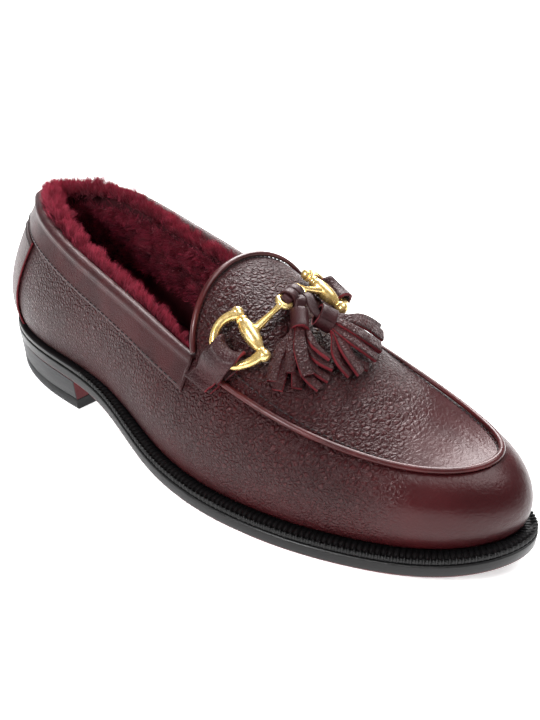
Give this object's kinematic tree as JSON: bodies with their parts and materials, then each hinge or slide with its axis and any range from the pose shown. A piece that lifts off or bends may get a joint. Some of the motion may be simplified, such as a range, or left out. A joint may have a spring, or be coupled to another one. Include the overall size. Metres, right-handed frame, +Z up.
{
  "type": "tassel loafer",
  "caption": "Men's slip-on dress loafer for the right foot: hollow leather upper with apron, metal bit, leather tassels, fur collar lining, ribbed welt and low heel.",
  "frame": {"origin": "on the floor under the middle of the shoe's bounding box", "axes": "+X towards the toe, +Z up, -Y towards the outer side of the right foot"},
  "size_m": [0.3006, 0.1088, 0.0915],
  "materials": {
    "sole_edge": "black waxed sole edge, satin",
    "heel_lift": "black rubber, matt",
    "insole_leather": "dark burgundy lining leather, matt",
    "grained_leather": "tumbled burgundy calf, satin",
    "smooth_leather": "smooth burgundy calf, satin",
    "piping_leather": "smooth red-brown leather cord, polished",
    "fur": "wine-red sheared fur",
    "gold_metal": "polished gold"
  },
  "bodies": {
    "root": {"outsole": "sole_edge", "welt": "sole_edge", "heel_stack": "sole_edge", "top_lift": "heel_lift", "insole": "insole_leather", "upper": "grained_leather", "collar_band": "smooth_leather", "heel_counter": "grained_leather", "fur_lining": "fur", "apron_piping": "piping_leather", "tongue_binding": "piping_leather", "strap_outer": "smooth_leather", "strap_inner": "smooth_leather", "bit_outer": "gold_metal", "bit_inner": "gold_metal", "link_wrap": "smooth_leather", "tassel_outer": "grained_leather", "tassel_inner": "grained_leather"}
  },
  "joints": []
}
